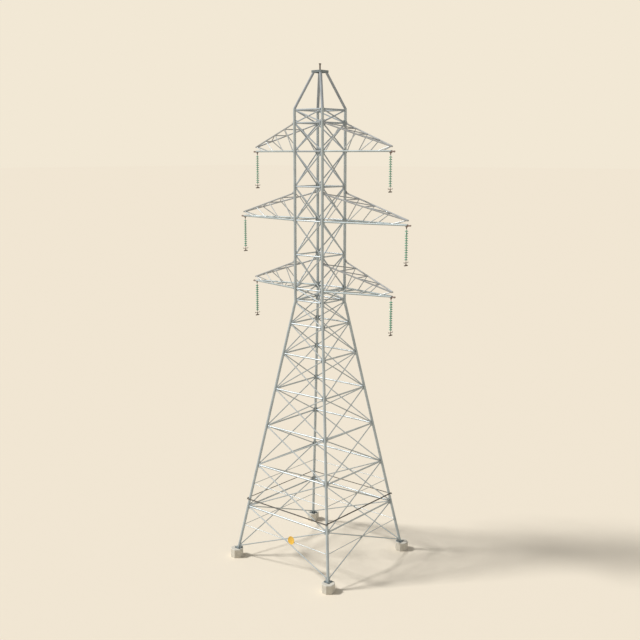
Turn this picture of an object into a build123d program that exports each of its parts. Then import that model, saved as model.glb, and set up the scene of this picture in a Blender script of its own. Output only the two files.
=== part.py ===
from build123d import *
import math
import os

# A double-circuit lattice transmission tower, in millimetres. The origin is on the ground at the
# centre of the four footings, +Z is up, the arms reach out along X and the line runs along Y.

# ---------------------------------------------------------------- heights
footing_height = 700
base_plate_thickness = 40
# bracing panels of the tapered body, from the base plates up to the waist
body_panels = (3517, 3460, 3237, 3023, 2844, 2394, 1756)
arm_root_depth = 2091
# bracing panels of the straight cage, from the waist up; one is as deep as an arm's root
cage_panels = (1005, 2617, 2652, 2561, 2631, arm_root_depth, 1044)
peak_height = 2619
cap_depth = 175
cap_wall = 12
post_height = 500

# ---------------------------------------------------------------- half widths of the square plan
# from the tower's axis to the legs' centre lines
foot_half_width = 4696
cage_half_width = 1358
cap_half_width = 455

# ---------------------------------------------------------------- footings and base plates
footing_half_spacing = 4800
footing_across_flats = 980
footing_chamfer = 40
base_plate_width = 490

# ---------------------------------------------------------------- round tubes, as prisms of few sides
leg_sides = 8
bar_sides = 4
leg_diameter = 222

# ---------------------------------------------------------------- face bracing
body_diagonal_diameter = 90
body_rail_diameter = 126
body_redundant_diameter = 54
cage_diagonal_diameter = 102
cage_rail_diameter = 112
cage_top_rail_diameter = 128
plan_bar_diameter = 90
redundant_panels = 2
gusset_thickness = 12
gusset_height = 420
gusset_reach = 178
gusset_clearance = 10
end_node_rise = 85
foot_node_rise = 130

# ---------------------------------------------------------------- arms
# from the tower's axis out to the insulator's axis
lower_arm_reach = 6764
middle_arm_reach = 8020
top_arm_reach = 6549
arm_tip_depth = 330
upper_tip_offset = 105
chord_end_offset = 60
chord_end_half_gap = 60
lower_chord_diameter = 134
upper_chord_diameter = 116
arm_bar_diameter = 78
arm_bays = 4
strut_foot_lead = 0.18
strut_head_lag = 72
root_plate_height = 240
root_plate_lap = 30

# ---------------------------------------------------------------- tip plates with the hanger lug
tip_plate_thickness = 16
tip_plate_width = 150
tip_plate_inner = 180
tip_overhang = 350
tip_block_length = 265
tip_block_depth = 75
lug_top_width = 260
lug_thickness = 20
lug_eye_radius = 45
lug_eye_sides = 8
pivot_drop = 165

# ---------------------------------------------------------------- insulator strings
disc_count = 13
disc_pitch = 170
disc_radius = 127
disc_rim = 14
disc_bell = 34
disc_sides = 8
cap_radius = 48
cap_height = 88
cap_sides = 6
pin_width = 24
first_disc_drop = 275
shackle_pin_radius = 14
shackle_pin_clearance = 1
shackle_clearance = 0.5
shackle_ear_thickness = 12
shackle_width = 56
shackle_clear_below = 8
shackle_block_depth = 40
horn_drop = 210
horn_length = 560
horn_section = 24
horn_tip_rise = 70
clamp_drop = 400
clamp_length = 420
clamp_width = 74
clamp_height = 90
clamp_keel_length = 190
conductor_radius = 15

# ---------------------------------------------------------------- earth-wire post
post_flange_radius = 120
post_flange_thickness = 16
post_radius = 57
post_sides = 8
post_head_length = 200
post_head_width = 80
post_head_height = 70
earth_wire_radius = 9

# ---------------------------------------------------------------- anti-climb guard and sign
guard_above_node = 586
guard_standoff = 126
guard_overhang = 300
guard_bar_width = 70
guard_bar_thickness = 7
guard_level_gap = 5
cleat_width = 110
cleat_thickness = 10
sign_radius = 320
sign_thickness = 4
sign_sides = 24
sign_offset = 750
sign_rise = 100

# ---------------------------------------------------------------- derived levels and slopes
plate_top = footing_height + base_plate_thickness
waist_height = plate_top + sum(body_panels)
body_levels = [plate_top + sum(body_panels[:i]) for i in range(len(body_panels) + 1)]
cage_levels = [waist_height + sum(cage_panels[:i]) for i in range(len(cage_panels) + 1)]
cage_top = cage_levels[-1]
cap_bottom = cage_top + peak_height
cap_top = cap_bottom + cap_depth
body_slope = (foot_half_width - cage_half_width) / (waist_height - plate_top)

# where a box or cylinder stands on its origin, hangs from it, or runs out from it along X
# standing on its lowest face or centred on its axis
STANDING = (Align.CENTER, Align.CENTER, Align.MIN)
HANGING = (Align.CENTER, Align.CENTER, Align.MAX)
STANDING_OUT = (Align.MIN, Align.CENTER, Align.MIN)
LYING_OUT = (Align.MIN, Align.CENTER, Align.CENTER)
CORNERS = ("back_right", "back_left", "front_left", "front_right")
FACES = ("front", "right", "back", "left")


def body_half_width(height):
    """Half width of the tower at the legs' centre lines, below the waist."""
    return cage_half_width + body_slope * (waist_height - height)


def turned(shape, quarter):
    """The shape turned about the tower's axis by so many quarter turns."""
    return Rot(0, 0, 90 * quarter) * shape


def keep(name, shape):
    """Write one sub-part to its file."""
    export_step(shape, f"parts/{name}.step")


def fused(pieces):
    """One solid out of pieces that lap each other."""
    first, *rest = pieces
    return first.fuse(*rest) if rest else first


def girth_radius(diameter, sides):
    """Corner radius of the regular outline that is as long as a circle of this diameter."""
    return math.pi * diameter / (2 * sides * math.sin(math.pi / sides))


def flat_depth(diameter, sides=bar_sides):
    """From a tube's axis to one of its flats."""
    return girth_radius(diameter, sides) * math.cos(math.pi / sides)


def section(diameter, sides):
    """Outline of a tube, two of its flats level with the X axis."""
    return RegularPolygon(girth_radius(diameter, sides), sides, rotation=90 - 180 / sides)


def bar(start, end, diameter):
    """Tube between two points, two of its flats level with the XY plane."""
    run = Vector(*end) - Vector(*start)
    across = Plane(origin=start, x_dir=(-run.Y, run.X, 0), z_dir=run)
    return extrude(across * section(diameter, bar_sides), amount=run.length)


# ---------------------------------------------------------------- footings, base plates, legs
def footing():
    """Octagonal concrete footing with a chamfered top edge, flats square to the tower."""
    outer = footing_across_flats / 2 / math.cos(math.pi / 8)
    outline = RegularPolygon(outer, 8, rotation=22.5)
    block = extrude(outline, footing_height)
    return chamfer(block.faces().sort_by(Axis.Z)[-1].edges(), footing_chamfer)


def base_plate():
    """Square steel plate on top of the footing, under the leg."""
    plate = Box(base_plate_width, base_plate_width, base_plate_thickness, align=STANDING)
    return Pos(0, 0, footing_height) * plate


def at_corner(half_width, shape):
    """The shape moved out to the first corner of a square plan."""
    return Pos(half_width, half_width, 0) * shape


def corner_leg(low, high, low_half_width, high_half_width):
    """Tube up the first corner between two levels, cut off level at both ends."""
    rise = Vector(high_half_width - low_half_width, high_half_width - low_half_width, high - low)
    foot = at_corner(low_half_width, Pos(0, 0, low) * section(leg_diameter, leg_sides))
    return extrude(foot, amount=rise.length, dir=rise.normalized())


def peak_leg():
    """Leg from the top of the cage to the cap, whose outer edges it ends under."""
    top_half_width = cap_half_width - flat_depth(leg_diameter, leg_sides)
    return corner_leg(cage_top, cap_bottom, cage_half_width, top_half_width)


def body_leg():
    """Leg from its base plate up to the waist."""
    return corner_leg(plate_top, waist_height, foot_half_width, cage_half_width)


def cage_leg():
    """Leg from the waist up to the top of the cage."""
    return corner_leg(waist_height, cage_top, cage_half_width, cage_half_width)


# ---------------------------------------------------------------- face bracing
class FaceFrame:
    """One flat side of the tower, drawn through its legs' centre lines: X across, Y up, Z outward."""

    def __init__(self, slope):
        self.slope = slope
        self.lean = math.hypot(1, slope)
        self.plane = Plane(origin=(0, -cage_half_width, waist_height), x_dir=(1, 0, 0), z_dir=(0, -1, slope))

    def node(self, side, height, inset=0):
        """Point on the left (-1) or right (+1) leg's centre line, or as far inside it as inset says."""
        across = cage_half_width + self.slope * (waist_height - height)
        return (side * (across - inset), (height - waist_height) * self.lean)

    def strip(self, side, low, high, outer, inner, thickness):
        """Plate along a leg, from one inset to another, half its thickness on each side of the frame."""
        corners = [self.node(side, low, outer), self.node(side, high, outer)]
        corners += [self.node(side, high, inner), self.node(side, low, inner)]
        return extrude(Polygon(*corners, align=None), amount=thickness / 2, both=True)

    def gusset(self, side, low, high):
        """Plate from the leg inward, which carries the ends of the bars."""
        return self.strip(side, low, high, 0, gusset_reach, gusset_thickness)

    def between_gussets(self, bars, low, high):
        """The bars in one solid, cut off where the gussets begin."""
        ends = [self.strip(side, low, high, -gusset_reach, gusset_reach, gusset_reach) for side in (-1, 1)]
        return fused(bars) - ends

    def rail(self, height, diameter):
        """Level bar between the two legs."""
        return bar(self.node(-1, height), self.node(1, height), diameter)

    def crossing(self, low, high):
        """Height at which a panel's two diagonals cross."""
        low_reach, high_reach = self.node(1, low)[0], self.node(1, high)[0]
        return low + (high - low) * low_reach / (low_reach + high_reach)

    def diagonals(self, low, high, diameter):
        """A panel's two crossing bars."""
        return [bar(self.node(side, low), self.node(-side, high), diameter) for side in (-1, 1)]

    def redundants(self, low, high, diameter):
        """Thin level bar from leg to leg through the point where the diagonals cross."""
        height = self.crossing(low, high)
        return bar(self.node(-1, height), self.node(1, height), diameter)

    def placed(self, pieces, leg):
        """The pieces as one solid, stood up on the tower's front side and cut off at its legs."""
        return self.plane.location * fused(pieces) - [turned(leg, 2), turned(leg, 3)]


def body_face():
    """One side of the tapered body: crossed diagonals, rails, gussets and thin level bars."""
    frame = FaceFrame(body_slope)
    bars = []
    plates = []
    thin_bars = []
    count = len(body_panels)
    for i, (low, high) in enumerate(zip(body_levels, body_levels[1:])):
        bottom = low + (foot_node_rise if i == 0 else 0)
        top = high - (end_node_rise if i == count - 1 else 0)
        bars += frame.diagonals(bottom, top, body_diagonal_diameter)
        if i < redundant_panels:
            thin_bars.append(frame.redundants(bottom, top, body_redundant_diameter))
        if i > 0:
            bars.append(frame.rail(low, body_rail_diameter))
        for side in (-1, 1):
            plate_low = low + gusset_clearance if i == 0 else low - gusset_height / 2
            plates.append(frame.gusset(side, plate_low, low + gusset_height / 2))
    for side in (-1, 1):
        plates.append(frame.gusset(side, waist_height - gusset_height / 2, waist_height - gusset_clearance))
    web = frame.between_gussets(bars, plate_top, waist_height)
    return frame.placed([web, *plates, *thin_bars], body_leg())


def cage_face():
    """One side of the straight cage, with a deeper rail at the very top."""
    frame = FaceFrame(0)
    bars = []
    plates = []
    for low, high in zip(cage_levels, cage_levels[1:]):
        bottom = low + (end_node_rise if low == waist_height else 0)
        top = high - (end_node_rise if high == cage_top else 0)
        bars += frame.diagonals(bottom, top, cage_diagonal_diameter)
        bars.append(frame.rail(bottom, cage_rail_diameter))
        for side in (-1, 1):
            plate_low = low + gusset_clearance if low == waist_height else low - gusset_height / 2
            plates.append(frame.gusset(side, plate_low, low + gusset_height / 2))
    bars.append(frame.rail(cage_top - end_node_rise, cage_top_rail_diameter))
    for side in (-1, 1):
        plates.append(frame.gusset(side, cage_top - gusset_height / 2, cage_top - gusset_clearance))
    web = frame.between_gussets(bars, waist_height, cage_top)
    return frame.placed([web, *plates], cage_leg())


def waist_bracing():
    """Two bars that cross in plan at the waist, from leg to leg."""
    height = waist_height + end_node_rise
    half = cage_half_width
    bars = []
    for side in (-1, 1):
        bars.append(bar((-half, -side * half, height), (half, side * half, height), plan_bar_diameter))
    return fused(bars) - [turned(cage_leg(), quarter) for quarter in range(4)]


# ---------------------------------------------------------------- peak
def peak_cap():
    """Square cap of four side plates and a top plate, open below."""
    width = 2 * cap_half_width
    wall = cap_wall
    outer = Box(width, width, cap_depth, align=STANDING)
    hollow = Box(width - 2 * wall, width - 2 * wall, cap_depth - wall, align=STANDING)
    return Pos(0, 0, cap_bottom) * (outer - hollow)


def earth_wire_post():
    """Tube on a flange with a head that holds the earth wire in a groove along Y."""
    flange = extrude(RegularPolygon(post_flange_radius, post_sides), post_flange_thickness)
    stem = extrude(RegularPolygon(post_radius, post_sides), post_height - post_head_height)
    head = Box(post_head_width, post_head_length, post_head_height, align=HANGING)
    groove = Rot(90, 0, 0) * Cylinder(earth_wire_radius, post_head_length)
    head = Pos(0, 0, post_height) * (head - groove)
    return Pos(0, 0, cap_top) * (flange + stem + head)


# ---------------------------------------------------------------- arms
class Arm:
    """A cross-arm on the +X side: two level lower chords and two falling upper chords."""

    def __init__(self, height, reach):
        self.height = height
        self.reach = reach
        run_x = reach + chord_end_offset - cage_half_width
        run_y = cage_half_width - chord_end_half_gap
        # distances along the arm are measured level, along its sides
        self.plan_angle = math.atan2(run_y, run_x)
        self.lower_length = math.hypot(run_x, run_y)
        self.upper_length = (reach + upper_tip_offset - cage_half_width) / math.cos(self.plan_angle)

    def lower_point(self, side, along):
        """Point on the front (-1) or back (+1) lower chord's centre line."""
        across = cage_half_width - along * math.sin(self.plan_angle)
        return (cage_half_width + along * math.cos(self.plan_angle), side * across, self.height)

    def upper_point(self, side, along):
        """Point on the front or back upper chord's centre line."""
        x, y, z = self.lower_point(side, along)
        fall = (arm_root_depth - arm_tip_depth) * along / self.upper_length
        return (x, y, z + arm_root_depth - fall)

    def lower_chord(self, side):
        """Level tube from the root plate out to the tip."""
        start = self.lower_point(side, gusset_reach - root_plate_lap)
        return bar(start, self.lower_point(side, self.lower_length), lower_chord_diameter)

    def upper_chord(self, side):
        """Falling tube from the root plate out to the tip."""
        start = self.upper_point(side, gusset_reach - root_plate_lap)
        return bar(start, self.upper_point(side, self.upper_length), upper_chord_diameter)

    def root_plate(self, side, height):
        """Upright plate from the leg outward, which carries the end of a chord."""
        x, y, z = self.lower_point(side, 0)
        turn = -side * math.degrees(self.plan_angle)
        plate = Box(gusset_reach, gusset_thickness, root_plate_height, align=LYING_OUT)
        return Pos(x, y, z + height) * Rot(0, 0, turn) * plate

    def web_bars(self, point):
        """A cross bar at each bay's end and a diagonal in each bay, all but the last, between two chords."""
        bars = []
        for bay in range(1, arm_bays):
            inner, outer = (bay - 1) / arm_bays * self.upper_length, bay / arm_bays * self.upper_length
            for start in (outer, inner):
                bars.append(bar(point(-1, start), point(1, outer), arm_bar_diameter))
        return bars

    def outside_legs(self, pieces):
        """The pieces in one solid, cut off at the two legs."""
        return fused(pieces) - [cage_leg(), turned(cage_leg(), 3)]

    def lower_frame(self):
        """Both lower chords, their root plates and the bracing between them."""
        pieces = []
        for side in (-1, 1):
            pieces += [self.lower_chord(side), self.root_plate(side, 0)]
        return self.outside_legs(pieces + self.web_bars(self.lower_point))

    def upper_frame(self):
        """Both upper chords, their root plates and the bracing in the sloping top."""
        pieces = []
        for side in (-1, 1):
            pieces += [self.upper_chord(side), self.root_plate(side, arm_root_depth)]
        return self.outside_legs(pieces + self.web_bars(self.upper_point))

    def side_struts(self):
        """Tubes in each side, every one leaning out from the lower chord up to the upper one."""
        struts = []
        for side in (-1, 1):
            chords = [self.lower_chord(side), self.upper_chord(side)]
            for bay in range(arm_bays):
                foot = self.lower_point(side, (bay + strut_foot_lead) / arm_bays * self.upper_length)
                head = self.upper_point(side, (bay + 1) / arm_bays * self.upper_length - strut_head_lag)
                struts.append(bar(foot, head, arm_bar_diameter) - chords)
        return struts

    def tip_plate(self):
        """Plate under the chords' ends, with the outer block and the lug that carries the string."""
        under = self.height - flat_depth(lower_chord_diameter)
        length = tip_plate_inner + tip_overhang
        inner_end = self.reach - tip_plate_inner
        plate = Box(length, tip_plate_width, tip_plate_thickness, align=STANDING_OUT)
        plate = Pos(inner_end, 0, under - tip_plate_thickness) * plate
        block = Box(tip_block_length, tip_plate_width, tip_block_depth, align=STANDING_OUT)
        block = Pos(self.reach + tip_overhang - tip_block_length, 0, under) * block
        return fused([plate, block, Pos(self.reach, 0, 0) * self.lug(under - tip_plate_thickness)])

    def lug(self, top):
        """Tapered plate with a round eye, square to the line."""
        centre = Pos(0, self.height - pivot_drop)
        eye = centre * RegularPolygon(lug_eye_radius, lug_eye_sides, rotation=180 / lug_eye_sides)
        neck = Pos(0, top) * Rectangle(lug_top_width, 1, align=(Align.CENTER, Align.MAX))
        outline = make_hull(eye.edges() + neck.edges())
        hole = centre * Circle(shackle_pin_radius + shackle_pin_clearance)
        plate = extrude(outline - hole, amount=lug_thickness / 2, both=True)
        return Rot(90, 0, 0) * plate


# ---------------------------------------------------------------- insulator strings
def disc():
    """Glass shed of a cap-and-pin unit, its rim's lower edge at Z = 0."""
    shed = extrude(RegularPolygon(disc_radius, disc_sides), disc_rim + disc_bell)
    top = shed.faces().sort_by(Axis.Z)[-1]
    inward = (disc_radius - cap_radius) * math.cos(math.pi / disc_sides)
    return chamfer(top.edges(), inward, disc_bell, reference=top)


def pin(length):
    """Square pin that hangs down from Z = 0."""
    return Box(pin_width, pin_width, length, align=HANGING)


def metal_cap():
    """Cap of one unit, standing on its glass."""
    return Pos(0, 0, disc_rim + disc_bell) * extrude(RegularPolygon(cap_radius, cap_sides), cap_height)


def string_discs(pivot):
    """All sheds of one string below its pivot."""
    sheds = [Pos(0, 0, -first_disc_drop - disc_pitch * i) * disc() for i in range(disc_count)]
    return [Pos(*pivot) * shed for shed in sheds]


def shackle():
    """Ears on each side of the lug, the pin through it and the block that joins them below."""
    inner = lug_thickness / 2 + shackle_clearance
    outer = inner + shackle_ear_thickness
    block_top = -lug_eye_radius - shackle_clear_below
    above = shackle_width / 2
    align = (Align.CENTER, Align.MIN, Align.MAX)
    ear = Pos(0, inner, above) * Box(shackle_width, shackle_ear_thickness, above - block_top, align=align)
    crown = ear.edges().filter_by(Axis.Y).sort_by(Axis.Z)[-2:]
    ear = chamfer(crown, above * (2 - math.sqrt(2)))
    ears = [ear, mirror(ear, about=Plane.XZ)]
    bolt = Rot(90, 0, 0) * Cylinder(shackle_pin_radius, 2 * outer)
    block = Box(shackle_width, 2 * outer, shackle_block_depth, align=HANGING)
    return ears + [bolt, Pos(0, 0, block_top) * block]


def clamp():
    """Suspension clamp: a boat-shaped body along Y with a groove for the conductor."""
    half = clamp_length / 2
    keel = clamp_keel_length / 2
    side = Polygon(
        (-half, clamp_height / 2),
        (half, clamp_height / 2),
        (half, 0),
        (keel, -clamp_height / 2),
        (-keel, -clamp_height / 2),
        (-half, 0),
        align=None,
    )
    body = extrude(Plane.YZ * side, amount=clamp_width / 2, both=True)
    bore = Rot(90, 0, 0) * Cylinder(conductor_radius, clamp_length)
    return body - bore


def string_fittings(pivot):
    """Metal of one string: shackle and first cap, caps with pins between sheds, horn and clamp."""
    head_top = -lug_eye_radius - shackle_clear_below - shackle_block_depth
    cap_top_drop = first_disc_drop - disc_rim - disc_bell - cap_height
    link = Pos(0, 0, head_top) * pin(cap_top_drop + head_top)
    first_cap = Pos(0, 0, -first_disc_drop) * metal_cap()
    solids = [fused(shackle() + [link, first_cap])]
    free_pin = disc_pitch - disc_rim - disc_bell - cap_height
    for i in range(1, disc_count):
        cap = Pos(0, 0, -first_disc_drop - disc_pitch * i) * metal_cap()
        stem = Pos(0, 0, -first_disc_drop - disc_pitch * (i - 1)) * pin(free_pin)
        solids.append(fused([cap, stem]))
    last = -first_disc_drop - disc_pitch * (disc_count - 1)
    stem = Pos(0, 0, last) * pin(clamp_drop - clamp_height / 2)
    horn = Pos(0, 0, last - horn_drop) * Box(horn_section, horn_length, horn_section)
    tip_y = (horn_length - horn_section) / 2
    tip = Box(horn_section, horn_section, horn_tip_rise, align=STANDING)
    tips = [Pos(0, side * tip_y, last - horn_drop) * tip for side in (-1, 1)]
    seat = Pos(0, 0, last - clamp_drop) * clamp()
    solids.append(fused([stem, horn, *tips, seat]))
    return [Pos(*pivot) * solid for solid in solids]


# ---------------------------------------------------------------- guard and sign
def guard_height():
    """Height of the guard's lower bars."""
    return body_levels[1] + guard_above_node


def guard_rail(lift):
    """One bar of the anti-climb guard on the front side, with a cleat to each leg."""
    height = guard_height() + lift
    half = body_half_width(height)
    line = half + guard_standoff
    bar_length = 2 * (line + guard_overhang)
    behind = (Align.CENTER, Align.MAX, Align.MIN)
    upright = Box(bar_length, guard_bar_thickness, guard_bar_width, align=behind)
    shelf = Box(bar_length, guard_bar_width, guard_bar_thickness, align=behind)
    pieces = [Pos(0, -line + guard_bar_thickness, height) * (upright + shelf)]
    for side in (-1, 1):
        cleat = Box(cleat_width, guard_standoff, cleat_thickness, align=(Align.CENTER, Align.MIN, Align.MIN))
        pieces.append(Pos(side * half, -line, height) * cleat)
    return fused(pieces) - [turned(body_leg(), 2), turned(body_leg(), 3)]


def sign_disc():
    """Round plate on the front side, against the outer flats of the lowest diagonals."""
    frame = FaceFrame(body_slope)
    middle = frame.node(1, frame.crossing(body_levels[0] + foot_node_rise, body_levels[1]))[1]
    disc_plate = extrude(RegularPolygon(sign_radius, sign_sides), sign_thickness)
    proud = flat_depth(body_diagonal_diameter)
    return frame.plane.location * Pos(sign_offset, middle + sign_rise, proud) * disc_plate


def main():
    os.makedirs("parts", exist_ok=True)
    corner_footing = at_corner(footing_half_spacing, footing())
    corner_base_plate = at_corner(foot_half_width, base_plate())
    keep("footings", Compound([turned(corner_footing, quarter) for quarter in range(4)]))
    keep("base_plates", Compound([turned(corner_base_plate, quarter) for quarter in range(4)]))
    for quarter, corner in enumerate(CORNERS):
        keep(f"body_leg_{corner}", turned(body_leg(), quarter))
        keep(f"cage_leg_{corner}", turned(cage_leg(), quarter))
    keep("peak_legs", Compound([turned(peak_leg(), quarter) for quarter in range(4)]))

    body_lattice = body_face()
    cage_lattice = cage_face()
    for quarter, face in enumerate(FACES):
        keep(f"body_lattice_{face}", turned(body_lattice, quarter))
        keep(f"cage_lattice_{face}", turned(cage_lattice, quarter))
    keep("waist_bracing", waist_bracing())
    keep("peak_cap", peak_cap())
    keep("earth_wire_post", earth_wire_post())

    rails = [turned(guard_rail(0 if q % 2 == 0 else guard_bar_width + guard_level_gap), q) for q in range(4)]
    keep("anti_climb_guard", Compound(rails))
    keep("sign_disc", sign_disc())

    tips = []
    reaches = (lower_arm_reach, middle_arm_reach, top_arm_reach)
    # every second level of the cage, from its first rail up, carries an arm's lower chords
    for name, height, reach in zip(("lower", "middle", "top"), cage_levels[1::2], reaches):
        arm = Arm(height, reach)
        lower, upper, struts, tip = arm.lower_frame(), arm.upper_frame(), arm.side_struts(), arm.tip_plate()
        keep(f"{name}_arm_lower_frame_right", lower)
        keep(f"{name}_arm_lower_frame_left", mirror(lower, about=Plane.YZ))
        keep(f"{name}_arm_upper_frame_right", upper)
        keep(f"{name}_arm_upper_frame_left", mirror(upper, about=Plane.YZ))
        keep(f"{name}_arm_struts", Compound(struts + [mirror(strut, about=Plane.YZ) for strut in struts]))
        tips += [tip, mirror(tip, about=Plane.YZ)]
        for side, label in ((1, "right"), (-1, "left")):
            pivot = (side * reach, 0, arm.height - pivot_drop)
            keep(f"{name}_insulator_discs_{label}", Compound(string_discs(pivot)))
            keep(f"{name}_string_fittings_{label}", Compound(string_fittings(pivot)))
    keep("arm_tip_plates", Compound(tips))


main()
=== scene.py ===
"""Dresses a double-circuit lattice transmission tower: zinc, forged steel, glass and concrete."""

from __future__ import annotations

import logging
import math
from dataclasses import dataclass
from enum import Enum
from functools import cache
from typing import Sequence

import bmesh
import bpy
from mathutils import Matrix, Vector


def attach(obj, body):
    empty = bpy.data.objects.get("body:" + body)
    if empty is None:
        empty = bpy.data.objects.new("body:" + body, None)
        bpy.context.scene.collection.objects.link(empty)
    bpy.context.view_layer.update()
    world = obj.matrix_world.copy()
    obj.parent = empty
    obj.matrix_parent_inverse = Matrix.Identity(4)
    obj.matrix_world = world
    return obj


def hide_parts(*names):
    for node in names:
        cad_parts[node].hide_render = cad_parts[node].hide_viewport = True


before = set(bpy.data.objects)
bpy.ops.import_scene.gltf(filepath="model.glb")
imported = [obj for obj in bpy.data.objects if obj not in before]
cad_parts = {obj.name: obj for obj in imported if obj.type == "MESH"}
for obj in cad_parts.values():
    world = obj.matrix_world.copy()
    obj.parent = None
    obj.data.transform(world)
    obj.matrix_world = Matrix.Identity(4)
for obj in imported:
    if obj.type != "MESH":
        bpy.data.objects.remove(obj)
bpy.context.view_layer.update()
LOG = logging.getLogger("tower")

Colour = tuple[float, float, float]
Point = tuple[float, float, float]
Profile = Sequence[tuple[float, float]]

MM = 0.001
SMOOTH_LIMIT = math.radians(50.0)
UP = Vector((0.0, 0.0, 1.0))
FORWARD = Vector((0.0, -1.0, 0.0))
RIGHTWARD = Vector((1.0, 0.0, 0.0))
LYING_ALONG_LINE = Matrix.Rotation(math.radians(90), 4, "X")


# ---------------------------------------------------------------- shader building
class Value:
    """A number that varies over a surface; arithmetic on it adds Math nodes."""

    def __init__(self, graph: "Graph", socket: bpy.types.NodeSocket) -> None:
        """Wrap one output socket of a graph."""
        self.graph = graph
        self.socket = socket

    def _math(self, operation: str, first: "Value | float", second: "Value | float") -> "Value":
        """Add one Math node of two inputs."""
        node = self.graph.add("ShaderNodeMath", {"operation": operation}, {0: first, 1: second})
        return Value(self.graph, node.outputs[0])

    def __add__(self, other: "Value | float") -> "Value":
        """Sum."""
        return self._math("ADD", self, other)

    def __radd__(self, other: float) -> "Value":
        """Sum, with a plain number on the left."""
        return self._math("ADD", other, self)

    def __rsub__(self, other: float) -> "Value":
        """Difference, with a plain number on the left."""
        return self._math("SUBTRACT", other, self)

    def __mul__(self, other: "Value | float") -> "Value":
        """Product."""
        return self._math("MULTIPLY", self, other)

    def __rmul__(self, other: float) -> "Value":
        """Product, with a plain number on the left."""
        return self._math("MULTIPLY", other, self)

    def larger(self, other: "Value | float") -> "Value":
        """The larger of the two."""
        return self._math("MAXIMUM", self, other)

    def ramped(self, low: float, high: float) -> "Value":
        """Rescale so that low becomes 0 and high becomes 1, with soft ends.

        Args:
            low: the value that becomes 0.
            high: the value that becomes 1.

        Returns:
            The rescaled value, held between 0 and 1.
        """
        node = self.graph.add(
            "ShaderNodeMapRange",
            {"interpolation_type": "SMOOTHSTEP"},
            {"Value": self, "From Min": low, "From Max": high},
        )
        return Value(self.graph, node.outputs[0])


class Graph:
    """The node tree of one material or world, with a single method that adds any node."""

    def __init__(self, owner: bpy.types.Material | bpy.types.World) -> None:
        """Start an empty tree.

        Args:
            owner: the new material or world that it belongs to.
        """
        owner.use_nodes = True
        self.owner = owner
        self.tree = owner.node_tree
        self.tree.nodes.clear()

    @classmethod
    def material(cls, name: str) -> "Graph":
        """Start an empty material of this name."""
        return cls(bpy.data.materials.new(name))

    def add(self, kind: str, settings: dict | None = None, inputs: dict | None = None) -> bpy.types.Node:
        """Add a node.

        Args:
            kind: the node's type.
            settings: its properties, set before its sockets.
            inputs: a value or a link for each named socket.

        Returns:
            The new node.
        """
        node = self.tree.nodes.new(kind)
        for name, value in (settings or {}).items():
            setattr(node, name, value)
        for name, value in (inputs or {}).items():
            socket = node.inputs[name]
            source = value.socket if isinstance(value, Value) else value
            if isinstance(source, bpy.types.NodeSocket):
                self.tree.links.new(source, socket)
            else:
                socket.default_value = source
        return node

    def place(self, scale: Sequence[float] = (1.0, 1.0, 1.0)) -> bpy.types.NodeSocket:
        """Give coordinates that stay with the piece.

        Args:
            scale: factor along each axis.

        Returns:
            Object coordinates in metres, stretched by the factors.
        """
        coordinates = self.add("ShaderNodeTexCoord")
        mapping = self.add("ShaderNodeMapping", {}, {"Vector": coordinates.outputs["Object"], "Scale": scale})
        return mapping.outputs[0]

    def noise(self, scale: float, detail: float = 3.0, stretch: Sequence[float] = (1.0, 1.0, 1.0)) -> Value:
        """Smooth clouds, from 0 to 1 around 0.5."""
        inputs = {"Vector": self.place(stretch), "Scale": scale, "Detail": detail}
        return Value(self, self.add("ShaderNodeTexNoise", {}, inputs).outputs["Fac"])

    def cells(self, scale: float) -> Value:
        """Split the surface into crystal-like cells.

        Args:
            scale: cells in a metre.

        Returns:
            A random level for each cell, from 0 to 1.
        """
        node = self.add("ShaderNodeTexVoronoi", {}, {"Vector": self.place(), "Scale": scale})
        parts = self.add("ShaderNodeSeparateColor", {}, {0: node.outputs["Color"]})
        return Value(self, parts.outputs[0])

    def pits(self, scale: float) -> Value:
        """Distance from the nearest scattered point, 0 at each point."""
        node = self.add("ShaderNodeTexVoronoi", {}, {"Vector": self.place(), "Scale": scale})
        return Value(self, node.outputs["Distance"])

    def height(self) -> Value:
        """Height above the ground in metres."""
        parts = self.add("ShaderNodeSeparateXYZ", {}, {0: self.place()})
        return Value(self, parts.outputs["Z"])

    def blend(
        self, factor: Value, low: "Colour | bpy.types.NodeSocket", high: Colour
    ) -> bpy.types.NodeSocket:
        """Mix two colours.

        Args:
            factor: 0 for all of the first colour, 1 for all of the second.
            low: the first colour, or a link that carries it.
            high: the second colour.

        Returns:
            The socket of the mixed colour.
        """
        start = (*low, 1.0) if isinstance(low, tuple) else low
        inputs = {0: factor, 6: start, 7: (*high, 1.0)}
        return self.add("ShaderNodeMix", {"data_type": "RGBA"}, inputs).outputs[2]

    def relief(self, height: Value, depth: float, strength: float, rounding: float) -> bpy.types.NodeSocket:
        """Normals of a slightly uneven surface with worn, rounded edges.

        Args:
            height: relief between 0 and 1.
            depth: the relief's depth in metres.
            strength: how strongly it shows.
            rounding: radius of the rounded edges in metres, 0 for none.

        Returns:
            The socket that feeds a shader's Normal.
        """
        inputs = {"Height": height, "Distance": depth, "Strength": strength}
        if rounding:
            edges = self.add("ShaderNodeBevel", {"samples": 4}, {"Radius": rounding})
            inputs["Normal"] = edges.outputs[0]
        return self.add("ShaderNodeBump", {}, inputs).outputs[0]

    def finish(self, inputs: dict) -> bpy.types.Material:
        """Close the material with one Principled shader.

        Args:
            inputs: values and links of the shader's sockets.

        Returns:
            The finished material.
        """
        shader = self.add("ShaderNodeBsdfPrincipled", {}, inputs)
        self.add("ShaderNodeOutputMaterial", {}, {"Surface": shader.outputs[0]})
        return self.owner


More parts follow.
